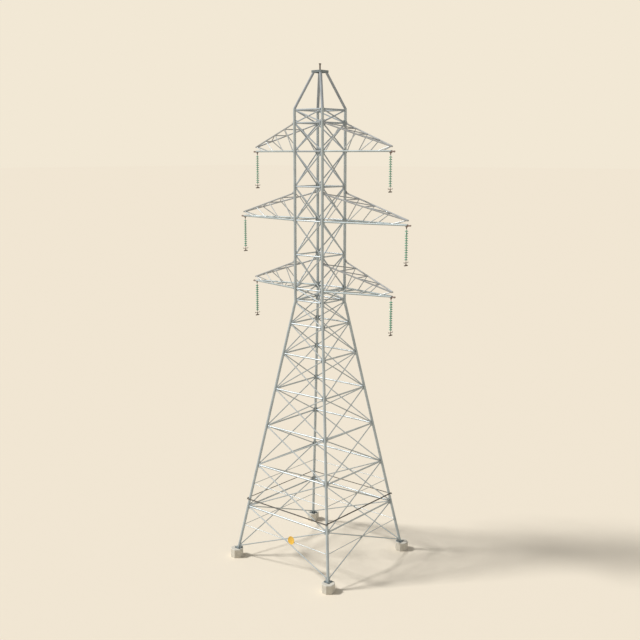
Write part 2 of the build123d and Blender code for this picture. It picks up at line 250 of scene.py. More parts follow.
# ---------------------------------------------------------------- finishes
@dataclass(frozen=True)
class Zinc:
    """Hot-dip galvanised steel, weathered: faint crystals, clouding and runs.

    Where dulled_from is set, the steel loses its sheen over dulled_over metres above that height, and its
    colour turns halfway to the dull tone there: a painted shade that makes the upper tower read darker.
    """

    name: str
    bright: Colour
    dull: Colour
    metallic: float
    roughness: float
    relief: float = 0.06
    dulled_from: float = 0.0
    crystal: float = 55.0
    dulled_over: float = 4.0
    dulled_roughness: float = 0.22
    sheen_lost: float = 0.85

    def build(self) -> bpy.types.Material:
        """Make the material.

        Returns:
            The finished material.
        """
        graph = Graph.material(self.name)
        crystals = graph.cells(self.crystal)
        clouds = graph.noise(1.3, 4.0)
        runs = graph.noise(9.0, 3.0, (1.0, 1.0, 0.12))
        wear = clouds.ramped(0.32, 0.68) * 0.55 + crystals * 0.2 + runs * 0.25
        colour = graph.blend(wear, self.bright, self.dull)
        rough = self.roughness - 0.08 + 0.16 * (crystals * 0.5 + clouds * 0.5)
        metal = self.metallic
        if self.dulled_from:
            dulled_and_shaded = graph.height().ramped(self.dulled_from, self.dulled_from + self.dulled_over)
            rough = rough + dulled_and_shaded * self.dulled_roughness
            metal = metal - dulled_and_shaded * (metal * self.sheen_lost)
            # Painted shade: above that height the colour turns halfway to the dull tone, so the upper tower
            # reads darker.
            colour = graph.blend(dulled_and_shaded * 0.5, colour, self.dull)
        inputs = {
            "Base Color": colour,
            "Metallic": metal,
            "Roughness": rough,
            "Normal": graph.relief(crystals * 0.5 + runs, 0.4 * MM, self.relief, 0.0),
        }
        return graph.finish(inputs)


@dataclass(frozen=True)
class DarkSteel:
    """Bare or painted steel gone dark, with a browner bloom where water stands."""

    name: str
    base: Colour
    bloom: Colour
    metallic: float
    roughness: float
    rounding: float

    def build(self) -> bpy.types.Material:
        """Make the material.

        Returns:
            The finished material.
        """
        graph = Graph.material(self.name)
        scale = graph.noise(28.0, 5.0)
        patches = graph.noise(4.0, 3.0)
        colour = graph.blend((patches * 0.6 + scale * 0.4).ramped(0.38, 0.66), self.base, self.bloom)
        inputs = {
            "Base Color": colour,
            "Metallic": self.metallic,
            "Roughness": self.roughness - 0.1 + 0.2 * scale,
            "Normal": graph.relief(scale, 0.6 * MM, 0.35, self.rounding),
        }
        return graph.finish(inputs)


@dataclass(frozen=True)
class Concrete:
    """Cast concrete with fine pores, soft clouding and a damp band at the ground."""

    name: str
    pale: Colour
    stained: Colour
    pore: Colour

    def build(self) -> bpy.types.Material:
        """Make the material.

        Returns:
            The finished material.
        """
        graph = Graph.material(self.name)
        clouds = graph.noise(3.0, 5.0)
        grain = graph.noise(120.0, 3.0)
        damp = graph.height().ramped(0.35, 0.0) * (graph.noise(5.0, 3.0).ramped(0.3, 0.7) * 0.6 + 0.2)
        colour = graph.blend(clouds.ramped(0.35, 0.7) * 0.6 + damp * 0.5, self.pale, self.stained)
        pores = graph.pits(38.0)
        holes = pores.ramped(0.16, 0.05)
        colour = graph.blend(holes * 0.7, colour, self.pore)
        inputs = {
            "Base Color": colour,
            "Roughness": 0.82 + 0.12 * grain,
            "Normal": graph.relief(grain * 0.4 + pores.ramped(0.05, 0.18), 2.0 * MM, 0.5, 12 * MM),
        }
        return graph.finish(inputs)


@dataclass(frozen=True)
class SignPaint:
    """Matt sign paint, a little chalked, with the bare metal showing in pinholes."""

    name: str
    paint: Colour
    chalked: Colour

    def build(self) -> bpy.types.Material:
        """Make the material.

        Returns:
            The finished material.
        """
        graph = Graph.material(self.name)
        clouds = graph.noise(5.0, 4.0)
        grain = graph.noise(160.0, 2.0)
        inputs = {
            "Base Color": graph.blend(clouds.ramped(0.35, 0.75) * 0.6, self.paint, self.chalked),
            "Roughness": 0.42 + 0.2 * clouds,
            "Normal": graph.relief(grain, 0.2 * MM, 0.2, 1.5 * MM),
        }
        return graph.finish(inputs)


@dataclass(frozen=True)
class GreenGlass:
    """Toughened insulator glass: clear green with patches of dust."""

    name: str
    clear: Colour
    dusty: Colour

    def build(self) -> bpy.types.Material:
        """Make the material.

        Returns:
            The finished material.
        """
        graph = Graph.material(self.name)
        dust = graph.noise(26.0, 4.0).ramped(0.4, 0.75) * 0.5
        inputs = {
            "Base Color": graph.blend(dust, self.clear, self.dusty),
            "Roughness": 0.05 + 0.22 * dust,
            "IOR": 1.52,
            "Transmission Weight": 0.25,
            "Normal": graph.relief(graph.noise(45.0, 2.0), 0.5 * MM, 0.15, 0.0),
        }
        return graph.finish(inputs)


class Finish(Enum):
    """Every finish on the tower, each with the recipe that makes it."""

    LEG = Zinc("leg_zinc", (0.51, 0.575, 0.595), (0.39, 0.44, 0.46), 0.25, 0.52)
    # Painted shade: the peak legs take a darker, matt copy of the leg zinc, so they read darker where they
    # face the key light.
    PEAK = Zinc("peak_zinc", (0.41, 0.445, 0.475), (0.32, 0.35, 0.37), 0.0, 0.70, 0.04)
    # Above 28 m the brace zinc loses sheen and is painted darker, a painted shade on the upper tower.
    BRACE = Zinc("brace_zinc", (0.47, 0.525, 0.56), (0.355, 0.395, 0.42), 0.75, 0.41, 0.015, dulled_from=28.0)
    # Painted highlight: the struts take a lighter copy of the zinc, so they read white like bars that catch
    # the key light.
    STRUT = Zinc("strut_zinc", (0.545, 0.58, 0.60), (0.42, 0.45, 0.465), 0.50, 0.39, 0.03)
    LOWER_CHORD = Zinc("lower_chord_zinc", (0.45, 0.515, 0.535), (0.345, 0.395, 0.41), 0.45, 0.46, 0.03)
    # Painted shade: the upper chords take a darker, nearly matt copy of the zinc, as the lower chords stay
    # light.
    UPPER_CHORD = Zinc("upper_chord_zinc", (0.415, 0.435, 0.445), (0.31, 0.32, 0.325), 0.10, 0.52, 0.04)
    PLATE = DarkSteel("plate_steel", (0.20, 0.245, 0.265), (0.17, 0.195, 0.20), 0.3, 0.5, 6 * MM)
    TIP = DarkSteel("tip_steel", (0.30, 0.245, 0.23), (0.25, 0.17, 0.145), 0.3, 0.5, 6 * MM)
    GUARD = DarkSteel("guard_steel", (0.195, 0.19, 0.175), (0.15, 0.132, 0.115), 0.25, 0.55, 6 * MM)
    CAP = DarkSteel("cap_steel", (0.46, 0.54, 0.46), (0.34, 0.40, 0.34), 0.2, 0.45, 0.0)
    FORGED = DarkSteel("forged_steel", (0.15, 0.12, 0.10), (0.105, 0.075, 0.055), 0.35, 0.5, 3 * MM)
    GLASS = GreenGlass("insulator_glass", (0.09, 0.48, 0.30), (0.30, 0.56, 0.41))
    CONCRETE = Concrete("footing_concrete", (0.71, 0.675, 0.585), (0.54, 0.505, 0.435), (0.27, 0.245, 0.205))
    SIGN = SignPaint("sign_paint", (0.80, 0.46, 0.04), (0.86, 0.60, 0.16))

    @cache
    def material(self) -> bpy.types.Material:
        """The finish's own material, made on first use."""
        return self.value.build()


# ---------------------------------------------------------------- studio
@dataclass
class Studio:
    """Plain pale floor, one soft key light, an even fill and the camera."""

    backdrop: Colour = (0.888, 0.807, 0.665)
    floor: Colour = (0.874, 0.786, 0.646)
    toward_light: Point = (-0.524, -0.436, 0.731)
    key_strength: float = 2.9
    key_softness: float = 9.0
    fill_strength: float = 0.33
    camera_place: Point = (44.06, -52.92, 32.19)
    camera_turn: Point = (79.51, 0.0, 39.78)
    lens: float = 50.25
    sensor: float = 36.0
    floor_size: float = 4000.0

    def build(self) -> None:
        """Make the whole studio."""
        self.make_floor()
        self.make_world()
        self.make_key()
        self.make_camera()
        bpy.context.scene.view_settings.view_transform = "Standard"

    def make_floor(self) -> None:
        """Lay the ground sheet that takes the shadow."""
        graph = Graph.material("floor_sheet")
        inputs = {"Base Color": (*self.floor, 1.0), "Roughness": 1.0, "Specular IOR Level": 0.0}
        material = graph.finish(inputs)
        shape = bmesh.new()
        bmesh.ops.create_grid(shape, x_segments=1, y_segments=1, size=self.floor_size / 2)
        new_object("floor_sheet", shape, material)

    def make_world(self) -> None:
        """Set the backdrop that the camera, metal and glass see, and an even fill for everything else."""
        world = bpy.data.worlds.new("backdrop")
        bpy.context.scene.world = world
        graph = Graph(world)
        rays = graph.add("ShaderNodeLightPath").outputs
        seen_by = Value(graph, rays["Is Camera Ray"]).larger(Value(graph, rays["Is Glossy Ray"]))
        seen_by = seen_by.larger(Value(graph, rays["Is Transmission Ray"]))
        white = {"Color": (1.0, 1.0, 1.0, 1.0), "Strength": self.fill_strength}
        fill = graph.add("ShaderNodeBackground", {}, white)
        seen = graph.add("ShaderNodeBackground", {}, {"Color": (*self.backdrop, 1.0)})
        mix = graph.add("ShaderNodeMixShader", {}, {0: seen_by, 1: fill.outputs[0], 2: seen.outputs[0]})
        graph.add("ShaderNodeOutputWorld", {}, {"Surface": mix.outputs[0]})

    def make_key(self) -> None:
        """Place the one directional light."""
        light = bpy.data.lights.new("key", "SUN")
        light.energy = self.key_strength
        light.angle = math.radians(self.key_softness)
        lamp = bpy.data.objects.new("key", light)
        lamp.rotation_euler = Vector(self.toward_light).to_track_quat("Z", "Y").to_euler()
        bpy.context.scene.collection.objects.link(lamp)

    def make_camera(self) -> None:
        """Place the camera at the viewing point."""
        camera = bpy.data.cameras.new("camera")
        camera.lens = self.lens
        camera.sensor_width = self.sensor
        camera.clip_end = 2 * self.floor_size
        eye = bpy.data.objects.new("camera", camera)
        eye.location = self.camera_place
        eye.rotation_euler = [math.radians(angle) for angle in self.camera_turn]
        bpy.context.scene.collection.objects.link(eye)
        bpy.context.scene.camera = eye


# ---------------------------------------------------------------- mesh helpers
def new_object(name: str, shape: bmesh.types.BMesh, material: bpy.types.Material) -> bpy.types.Object:
    """Turn a finished bmesh into an object at the origin.

    Args:
        name: the object's name.
        shape: the mesh, freed here.
        material: its one material.

    Returns:
        The linked object.
    """
    mesh = bpy.data.meshes.new(name)
    shape.to_mesh(mesh)
    shape.free()
    mesh.materials.append(material)
    made = bpy.data.objects.new(name, mesh)
    bpy.context.scene.collection.objects.link(made)
    return made


def smooth(shape: bmesh.types.BMesh) -> None:
    """Shade smooth across every edge that turns by less than the limit.

    Args:
        shape: the mesh, changed in place.
    """
    for face in shape.faces:
        face.smooth = True
    for edge in shape.edges:
        edge.smooth = edge.calc_face_angle(math.pi) < SMOOTH_LIMIT


def revolved(profile: Profile, steps: int) -> bmesh.types.BMesh:
    """Spin a closed half section about Z.

    Args:
        profile: radius and height of each point in turn, from the axis below round to the axis above, or
            from a point off the axis round to the same point, for a ring.
        steps: sides of the full turn.

    Returns:
        A closed mesh with its faces outward.
    """
    shape = bmesh.new()
    points = [shape.verts.new((radius, 0.0, height)) for radius, height in profile]
    edges = [shape.edges.new(pair) for pair in zip(points, points[1:])]
    bmesh.ops.spin(
        shape,
        geom=points + edges,
        cent=(0.0, 0.0, 0.0),
        axis=(0.0, 0.0, 1.0),
        angle=math.tau,
        steps=steps,
        use_merge=True,
    )
    bmesh.ops.remove_doubles(shape, verts=shape.verts, dist=1e-6)
    bmesh.ops.recalc_face_normals(shape, faces=shape.faces)
    return shape


def stamped(pattern: bmesh.types.BMesh, places: Sequence[Matrix]) -> bmesh.types.BMesh:
    """Repeat a mesh.

    Args:
        pattern: the mesh to repeat, freed here.
        places: where each copy goes.

    Returns:
        One mesh of all the copies.
    """
    stock = bpy.data.meshes.new("stock")
    pattern.to_mesh(stock)
    pattern.free()
    whole = bmesh.new()
    for place in places:
        copy = stock.copy()
        copy.transform(place)
        whole.from_mesh(copy)
        bpy.data.meshes.remove(copy)
    bpy.data.meshes.remove(stock)
    return whole


# ---------------------------------------------------------------- the tower's lines
class Side(Enum):
    """The two circuits, and the way each reaches from the tower."""

    LEFT = -1
    RIGHT = 1


CORNERS = {"back_right": (1, 1), "back_left": (-1, 1), "front_left": (-1, -1), "front_right": (1, -1)}
FACES = ("front", "right", "back", "left")


@dataclass(frozen=True)
class Lines:
    """Levels and half widths in metres, measured to the centre lines of the tubes.

    The end and foot rises set the bars of the body's and cage's last panels off their levels,
    gusset_reach is how far a gusset keeps them from the corner line, and pivot_drop how far a string's
    bolt lies below the level of its arm.
    """

    foot: float = 4.696
    cage: float = 1.358
    peak_top: float = 0.350
    plate_top: float = 0.740
    body_panels: tuple[float, ...] = (3.517, 3.460, 3.237, 3.023, 2.844, 2.394, 1.756)
    cage_panels: tuple[float, ...] = (1.005, 2.617, 2.652, 2.561, 2.631, 2.091, 1.044)
    peak: float = 2.619
    end_rise: float = 0.085
    foot_rise: float = 0.130
    gusset_reach: float = 0.178
    pivot_drop: float = 0.165

    @property
    def waist(self) -> float:
        """Level where the tapered body meets the straight cage."""
        return self.plate_top + sum(self.body_panels)

    @property
    def cage_top(self) -> float:
        """Level where the cage meets the peak."""
        return self.waist + sum(self.cage_panels)

    @property
    def slope(self) -> float:
        """Sideways step of a body leg for each metre down."""
        return (self.foot - self.cage) / (self.waist - self.plate_top)

    def levels(self, start: float, panels: Sequence[float]) -> list[float]:
        """Levels of the panel points from a start up."""
        return [start + sum(panels[:count]) for count in range(len(panels) + 1)]

    def half(self, height: float) -> float:
        """Half width of the tower at a level."""
        return self.cage + self.slope * max(self.waist - height, 0.0)

    def crossing(self, low: float, high: float) -> float:
        """Level where the diagonals of a panel cross."""
        return low + (high - low) * self.half(low) / (self.half(low) + self.half(high))

    def lean_at(self, low: float, high: float) -> float:
        """Inward lean of the tower's sides between two levels."""
        return self.slope if (low + high) / 2 < self.waist else 0.0


LINES = Lines()
MIRROR = Matrix.Diagonal((-1.0, 1.0, 1.0, 1.0))

# A bolt's head, nut and projecting threads, and its thickness, as shares of its width across flats.
BOLT_SHARES = (0.42, 0.525, 0.672)
SHANK_SHARE = 0.6


def quarter_turns(count: int) -> Matrix:
    """Quarter turns about the tower's axis, which take the front side to the next ones."""
    return Matrix.Rotation(math.radians(90 * count), 4, "Z")


class Steelwork:
    """Collects tubes, plates and bolts in one mesh."""

    def __init__(self) -> None:
        """Start with an empty mesh."""
        self.shape = bmesh.new()

    def tube(self, start: Vector, end: Vector, diameter: float, sides: int = 12) -> None:
        """Add a closed round tube.

        Args:
            start: one end of its centre line.
            end: the other end.
            diameter: its outer diameter.
            sides: sides of its mesh.
        """
        run = end - start
        place = Matrix.Translation((start + end) / 2) @ run.to_track_quat("Z", "Y").to_matrix().to_4x4()
        self.cone(place, diameter, run.length, sides)

    def leaning_tube(self, start: Vector, end: Vector, diameter: float, sides: int = 20) -> None:
        """Add a tube whose two ends are cut off level.

        Args:
            start: the lower end of its centre line.
            end: the upper end.
            diameter: its level diameter.
            sides: sides of its mesh.
        """
        run = end - start
        shear = Matrix.Identity(4)
        shear[0][2], shear[1][2] = run.x / run.z, run.y / run.z
        self.cone(Matrix.Translation((start + end) / 2) @ shear, diameter, run.z, sides)

    def cone(self, place: Matrix, diameter: float, depth: float, sides: int) -> None:
        """Add a capped cylinder.

        Args:
            place: its middle, and its axis as Z.
            diameter: its diameter over the corners.
            depth: its length.
            sides: sides of its mesh.
        """
        bmesh.ops.create_cone(
            self.shape,
            cap_ends=True,
            segments=sides,
            radius1=diameter / 2,
            radius2=diameter / 2,
            depth=depth,
            matrix=place,
        )

    def plate(self, centre: Vector, across: Vector, through: Vector, along: Vector) -> None:
        """Add a plate.

        Args:
            centre: its middle.
            across: its width, as a vector.
            through: its thickness, as a vector.
            along: its height, as a vector.
        """
        edges = Matrix((across, through, along)).transposed().to_4x4()
        bmesh.ops.create_cube(self.shape, size=1.0, matrix=Matrix.Translation(centre) @ edges)

    def block(self, centre: Vector, size: Vector, rounding: float, keel: float = 1.0) -> None:
        """Add a box with rounded edges.

        Args:
            centre: its middle.
            size: its three lengths along X, Y and Z.
            rounding: radius of its edges.
            keel: share of its length along Y that its underside keeps.
        """
        place = Matrix.Translation(centre) @ Matrix.Diagonal((*size, 1.0))
        points = bmesh.ops.create_cube(self.shape, size=1.0, matrix=place)["verts"]
        low = [point for point in points if point.co.z < centre.z]
        narrow = Matrix.Diagonal((1.0, keel, 1.0, 1.0))
        bmesh.ops.transform(self.shape, matrix=narrow, space=Matrix.Translation(-centre), verts=low)
        edges = list({edge for point in points for edge in point.link_edges})
        bmesh.ops.bevel(
            self.shape, geom=edges, offset=rounding, segments=2, profile=0.5, affect="EDGES", material=-1
        )

    def ball(self, centre: Vector, diameter: float) -> None:
        """Add a sphere."""
        place = Matrix.Translation(centre)
        bmesh.ops.create_uvsphere(self.shape, u_segments=12, v_segments=8, radius=diameter / 2, matrix=place)

    def turned(self, profile: Profile, place: Matrix, steps: int = 16) -> None:
        """Add a closed half section spun about its own Z axis, at a place."""
        self.add(revolved(profile, steps), [place])

    def add(self, pattern: bmesh.types.BMesh, places: Sequence[Matrix]) -> None:
        """Add copies of a mesh.

        Args:
            pattern: the mesh, freed here.
            places: where each copy goes.
        """
        whole = stamped(pattern, places)
        stock = bpy.data.meshes.new("stock")
        whole.to_mesh(stock)
        whole.free()
        self.shape.from_mesh(stock)
        bpy.data.meshes.remove(stock)

    def add_mirror_image(self) -> None:
        """Add everything so far again, mirrored to the other circuit's side."""
        parts = self.shape.verts[:] + self.shape.edges[:] + self.shape.faces[:]
        copies = bmesh.ops.duplicate(self.shape, geom=parts)["geom"]
        points = [part for part in copies if isinstance(part, bmesh.types.BMVert)]
        bmesh.ops.transform(self.shape, matrix=MIRROR, verts=points)

    def mirror(self) -> None:
        """Turn everything so far into its mirror image on the other circuit's side."""
        bmesh.ops.transform(self.shape, matrix=MIRROR, verts=self.shape.verts)

    def bolt(self, centre: Vector, normal: Vector, grip: float, across_flats: float = 0.034) -> None:
        """Add a bolt through a plate: a hexagon head on one side, a nut and the bolt's end on the other.

        Args:
            centre: middle of the plate's thickness.
            normal: direction of the head.
            grip: thickness that it clamps.
            across_flats: width of the head.
        """
        head, nut, threads = (across_flats * share for share in BOLT_SHARES)
        turn = normal.to_track_quat("Z", "Y").to_matrix().to_4x4()
        wide = across_flats / math.cos(math.pi / 6)
        for side, deep in ((1, head), (-1, nut)):
            middle = centre + normal * side * (grip + deep) / 2
            self.cone(Matrix.Translation(middle) @ turn, wide, deep, 6)
        end = centre - normal * (grip / 2 + threads)
        self.cone(Matrix.Translation(end) @ turn, across_flats * SHANK_SHARE, threads, 6)

    def finished(self, name: str, finish: Finish) -> bpy.types.Object:
        """Turn the mesh into an object, its faces outward and its round sides smooth.

        Args:
            name: the object's name.
            finish: its one finish.

        Returns:
            The linked object.
        """
        bmesh.ops.recalc_face_normals(self.shape, faces=self.shape.faces)
        smooth(self.shape)
        return new_object(name, self.shape, finish.material())


def instead_of(
    node: str, piece: bpy.types.Object, body: str = "tower"
) -> None:
    """Put a piece in the place of one node of the frame.

    Args:
        node: the node that it stands for.
        piece: the piece.
        body: the body that carries it.
    """
    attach(piece, body)
    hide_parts(node)
    LOG.info("%s stands for %s", piece.name, node)


def beside(piece: bpy.types.Object) -> None:
    """Fasten a piece of the scene's own to the tower.

    Args:
        piece: the piece.
    """
    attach(piece, "tower")
    LOG.info("%s added", piece.name)


@dataclass
class Legs:
    """The four corner tubes, each in three lengths."""

    diameter: float = 0.222

    def build(self) -> None:
        """Make every length in place of its plain prism."""
        peak = Steelwork()
        for corner, (x, y) in CORNERS.items():
            way = Vector((x, y, 0.0))
            lengths = {
                "body": (way * LINES.foot, LINES.plate_top, way * LINES.cage, LINES.waist),
                "cage": (way * LINES.cage, LINES.waist, way * LINES.cage, LINES.cage_top),
            }
            for part, (low, bottom, high, top) in lengths.items():
                node = f"{part}_leg_{corner}"
                work = Steelwork()
                work.leaning_tube(low + UP * bottom, high + UP * top, self.diameter)
                instead_of(node, work.finished(f"{node}_tube", Finish.LEG))
            start = way * LINES.cage + UP * LINES.cage_top
            end = way * LINES.peak_top + UP * (LINES.cage_top + LINES.peak)
            peak.leaning_tube(start, end, self.diameter)
        # The peak legs take the darker peak zinc, a painted shade.
        instead_of("peak_legs", peak.finished("peak_leg_tubes", Finish.PEAK))


@dataclass
class FaceBracing:
    """Crossed tubes, level rails and gussets of one length of the tower, on all four sides.

    A rail of no diameter is left out. The lowest panels may have a thin level tube through the crossing.
    """

    part: str
    levels: list[float]
    diagonal: float
    rail: float
    bottom_rise: float
    top_rise: float
    bottom_rail: float = 0.0
    top_rail: float = 0.0
    thin: float = 0.0
    thin_panels: int = 0
    thin_sides: int = 8
    plate_reach: float = 0.250
    plate_height: float = 0.420
    plate_thickness: float = 0.012
    end_plate_gap: float = 0.010
    bolt_inset: float = 0.036
    bolt_width: float = 0.030
    bolt_grip_share: float = 0.97

    def corner(self, side: int, height: float) -> Vector:
        """Point on the front side's left (-1) or right (+1) corner line."""
        half = LINES.half(height)
        return Vector((side * half, -half, height))

    def cut(self, start: Vector, end: Vector) -> Vector:
        """Find where a bar leaves the gusset at its start.

        Args:
            start: where its centre line meets one corner line.
            end: where it meets the other.

        Returns:
            The point of the centre line at the gusset's edge.
        """
        side = math.copysign(1.0, start.x)
        outside = side * end.x - LINES.half(end.z) + LINES.gusset_reach
        return start.lerp(end, LINES.gusset_reach / (LINES.gusset_reach - outside))

    def bar(self, work: Steelwork, start: Vector, end: Vector, diameter: float) -> None:
        """Add a tube between the gussets of two corners, with a bolt through each end.

        Args:
            work: the steel to add to.
            start: where its centre line meets one corner line.
            end: where it meets the other.
            diameter: its outer diameter.
        """
        ends = (self.cut(start, end), self.cut(end, start))
        work.tube(*ends, diameter)
        run = (ends[1] - ends[0]).normalized()
        normal = Vector((0.0, -1.0, LINES.lean_at(start.z, end.z))).normalized()
        for point, way in zip(ends, (run, -run)):
            grip = diameter * self.bolt_grip_share
            work.bolt(point + way * self.bolt_inset, normal, grip, self.bolt_width)

    def gusset(self, work: Steelwork, side: int, low: float, high: float) -> None:
        """Add a plate in the plane of the face, welded to the leg.

        Args:
            work: the steel to add to.
            side: -1 for the left leg, +1 for the right one.
            low: its lower edge.
            high: its upper edge.
        """
        slope = LINES.lean_at(low, high)
        middle = self.corner(side, (low + high) / 2)
        inward = Vector((-side, 0.0, 0.0))
        normal = Vector((0.0, -1.0, slope)).normalized()
        up = Vector((-side * slope, slope, 1.0))
        centre = middle + inward * self.plate_reach / 2
        work.plate(centre, inward * self.plate_reach, normal * self.plate_thickness, up * (high - low))

    def panel(self, work: Steelwork, low: float, high: float, thin: bool) -> None:
        """Add two crossed tubes, with a thin level one through their crossing if asked.

        Args:
            work: the steel to add to.
            low: level of their lower ends.
            high: level of their upper ends.
            thin: whether the thin tube is there.
        """
        for side in (-1, 1):
            self.bar(work, self.corner(side, low), self.corner(-side, high), self.diagonal)
        if thin:
            height = LINES.crossing(low, high)
            work.tube(self.corner(-1, height), self.corner(1, height), self.thin, self.thin_sides)

    def face(self) -> Steelwork:
        """Make the front side.

        Returns:
            All its steel.
        """
        work = Steelwork()
        last = len(self.levels) - 1
        reach = self.plate_height / 2
        for i, level in enumerate(self.levels):
            rail = self.bottom_rail if i == 0 else self.top_rail if i == last else self.rail
            rise = self.bottom_rise if i == 0 else -self.top_rise if i == last else 0.0
            if rail:
                self.bar(work, self.corner(-1, level + rise), self.corner(1, level + rise), rail)
            low = level + self.end_plate_gap if i == 0 else level - reach
            high = level - self.end_plate_gap if i == last else level + reach
            for side in (-1, 1):
                self.gusset(work, side, low, high)
            if i < last:
                above = self.levels[i + 1] - (self.top_rise if i + 1 == last else 0.0)
                self.panel(work, level + rise, above, i < self.thin_panels)
        return work

    def build(self) -> None:
        """Make the four sides in place of their plain solids."""
        for quarter, name in enumerate(FACES):
            work = self.face()
            bmesh.ops.transform(work.shape, matrix=quarter_turns(quarter), verts=work.shape.verts)
            node = f"{self.part}_lattice_{name}"
            instead_of(node, work.finished(f"{node}_tubes", Finish.BRACE))


@dataclass
class WaistBracing:
    """Two tubes that cross in plan at the waist."""

    diameter: float = 0.090

    def build(self) -> None:
        """Make both tubes in place of their plain solid."""
        work = Steelwork()
        height = LINES.waist + LINES.end_rise
        half = LINES.cage
        for side in (-1, 1):
            start, end = Vector((-half, -side * half, height)), Vector((half, side * half, height))
            work.tube(start, end, self.diameter)
        instead_of("waist_bracing", work.finished("waist_bracing_tubes", Finish.BRACE))


@dataclass
class CrossArm:
    """One arm on each side of the tower: level lower chords, falling upper chords and the bars between."""

    name: str
    level: int
    reach: float
    root_depth: float = 2.091
    tip_depth: float = 0.330
    lower_end: float = 0.060
    upper_end: float = 0.105
    end_half_gap: float = 0.060
    lower_chord: float = 0.134
    upper_chord: float = 0.116
    web: float = 0.078
    bays: int = 4
    foot_lead: float = 0.18
    head_lag: float = 0.072
    chord_sides: int = 16
    plate_height: float = 0.240
    plate_thickness: float = 0.012
    chord_lap: float = 0.030
    plate_lap: float = 0.050
    bolt_places: tuple[float, ...] = (0.190, 0.235)
    bolt_grip_share: float = 0.95

    @property
    def height(self) -> float:
        """Level of the lower chords."""
        return LINES.levels(LINES.waist, LINES.cage_panels)[self.level]

    @property
    def way(self) -> Vector:
        """Level direction of the front chord, from the tower out."""
        run = Vector((self.reach + self.lower_end - LINES.cage, LINES.cage - self.end_half_gap, 0.0))
        return run.normalized()

    @property
    def length(self) -> float:
        """Level length of the upper chords."""
        return (self.reach + self.upper_end - LINES.cage) / self.way.x

    def lower(self, side: int, along: float) -> Vector:
        """Point on the front (-1) or back (+1) lower chord."""
        way = self.way
        return Vector((LINES.cage + along * way.x, side * (LINES.cage - along * way.y), self.height))

    def upper(self, side: int, along: float) -> Vector:
        """Point on the front or back upper chord."""
        fall = (self.root_depth - self.tip_depth) * along / self.length
        return self.lower(side, along) + UP * (self.root_depth - fall)

    def root_plate(self, work: Steelwork, side: int, height: float) -> None:
        """Add an upright plate from the leg out, with its bolts.

        Args:
            work: the steel to add to.
            side: -1 for the front chord, +1 for the back one.
            height: its middle above the lower chords.
        """
        way = Vector((self.way.x, -side * self.way.y, 0.0))
        normal = Vector((-way.y, way.x, 0.0))
        start = self.lower(side, 0.0) + UP * height
        reach = LINES.gusset_reach + self.plate_lap
        middle = start + way * reach / 2
        work.plate(middle, way * reach, normal * self.plate_thickness, UP * self.plate_height)
        for along in self.bolt_places:
            work.bolt(start + way * along, normal, self.lower_chord * self.bolt_grip_share)

    def frame(self, upper: bool) -> Steelwork:
        """Make two chords with their plates and the bracing between them.

        Args:
            upper: whether they are the two upper chords.

        Returns:
            Their steel, on the right circuit's side.
        """
        work = Steelwork()
        point = self.upper if upper else self.lower
        end = self.length if upper else (self.reach + self.lower_end - LINES.cage) / self.way.x
        diameter = self.upper_chord if upper else self.lower_chord
        for side in (-1, 1):
            start = point(side, LINES.gusset_reach - self.chord_lap)
            work.tube(start, point(side, end), diameter, self.chord_sides)
            self.root_plate(work, side, self.root_depth if upper else 0.0)
        for bay in range(1, self.bays):
            inner, outer = (bay - 1) / self.bays * self.length, bay / self.bays * self.length
            for start in (outer, inner):
                work.tube(point(-1, start), point(1, outer), self.web)
        return work

    def struts(self) -> Steelwork:
        """Make the leaning bars in both sides of the arm.

        Returns:
            Their steel, on the right circuit's side.
        """
        work = Steelwork()
        for side in (-1, 1):
            for bay in range(self.bays):
                foot = self.lower(side, (bay + self.foot_lead) / self.bays * self.length)
                head = self.upper(side, (bay + 1) / self.bays * self.length - self.head_lag)
                work.tube(foot, head, self.web)
        return work

    def build(self) -> None:
        """Make both arms in place of their plain solids."""
        for side in Side:
            for label, upper in (("lower", False), ("upper", True)):
                work = self.frame(upper)
                if side is Side.LEFT:
                    work.mirror()
                node = f"{self.name}_arm_{label}_frame_{side.name.lower()}"
                # The upper chords take the darker zinc, a painted shade; the lower chords keep their own
                # zinc.
                zinc = Finish.UPPER_CHORD if upper else Finish.LOWER_CHORD
                instead_of(node, work.finished(f"{node}_tubes", zinc))
        struts = self.struts()
        struts.add_mirror_image()
        node = f"{self.name}_arm_struts"
        # The struts take the lighter strut zinc, a painted highlight.
        instead_of(node, struts.finished(f"{node}_tubes", Finish.STRUT))


# ---------------------------------------------------------------- insulator strings
UNIT_CAP: Profile = (
    (0.0, 0.044), (0.053, 0.044), (0.055, 0.052), (0.052, 0.062), (0.043, 0.086),
    (0.040, 0.102), (0.044, 0.108), (0.044, 0.124), (0.036, 0.136), (0.0, 0.136),
)
UNIT_PIN: Profile = (
    (0.0, -0.036), (0.011, -0.036), (0.011, -0.004), (0.020, 0.004), (0.020, 0.012), (0.0, 0.012),
)
BALL_LINK: Profile = (
    (0.0, -0.142), (0.014, -0.142), (0.012, -0.118), (0.012, -0.108),
    (0.022, -0.100), (0.022, -0.092), (0.0, -0.092),
)
STEM_ROD: Profile = (
    (0.0, -0.330), (0.030, -0.330), (0.030, -0.296), (0.016, -0.276), (0.016, -0.090), (0.026, -0.078),
    (0.028, -0.044), (0.022, -0.030), (0.012, -0.026), (0.012, 0.012), (0.0, 0.012),
)
LINE_SLEEVE: Profile = (
    (0.015, -0.210), (0.024, -0.210), (0.026, -0.200), (0.026, 0.200),
    (0.024, 0.210), (0.015, 0.210), (0.015, -0.210),
)


@dataclass
class HungPart:
    """A metal part of an insulator string, at a level in metres above the shackle's bolt."""

    pivot: Vector
    level: float

    def at(self, up: float = 0.0, along: float = 0.0, across: float = 0.0) -> Vector:
        """Point of the part, from its own level up, along the line and across it."""
        return self.pivot + Vector((across, along, self.level + up))


